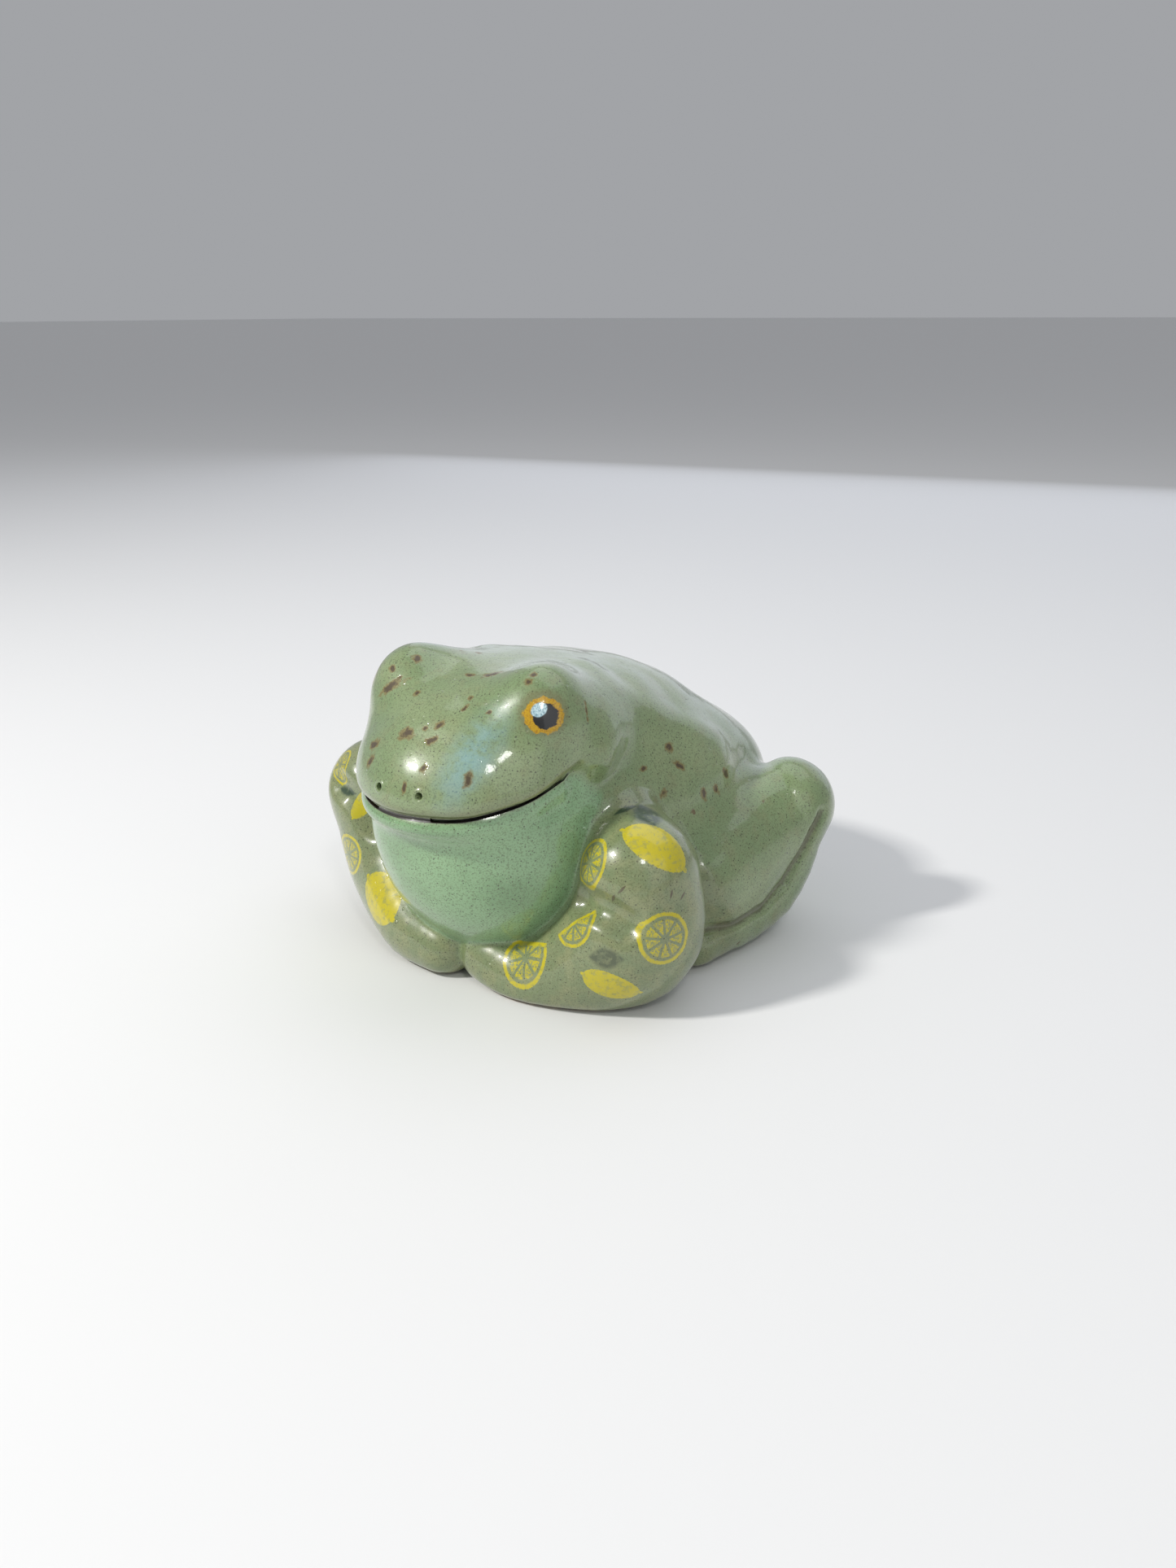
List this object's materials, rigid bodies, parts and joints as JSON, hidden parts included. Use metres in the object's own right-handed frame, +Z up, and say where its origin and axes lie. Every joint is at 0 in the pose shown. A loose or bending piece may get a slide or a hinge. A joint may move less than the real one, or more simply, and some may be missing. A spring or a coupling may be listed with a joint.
{
  "type": "glazed ceramic frog figurine",
  "caption": "Squatting frog figurine in speckled green glazed stoneware: hollow head and body with luted forelegs and hind legs, for a shelf or a table.",
  "frame": {"origin": "middle of the footprint's bounding box, on the table", "axes": "+Z up, the frog faces -Y, its left side is +X"},
  "size_m": [0.2132, 0.2084, 0.1344],
  "materials": {
    "body_glaze": "glossy sage green glaze with fine dark speckle, rusty iron spots and a mint green throat",
    "foreleg_glaze": "glossy clear glaze over warm grey-green stoneware, with printed yellow lemon decals",
    "hind_leg_glaze": "glossy sage green glaze with fine dark speckle and a few rusty iron spots"
  },
  "bodies": {
    "root": {"torso_shell": "body_glaze", "left_foreleg": "foreleg_glaze", "right_foreleg": "foreleg_glaze", "left_hind_leg": "hind_leg_glaze", "right_hind_leg": "hind_leg_glaze"}
  },
  "joints": []
}
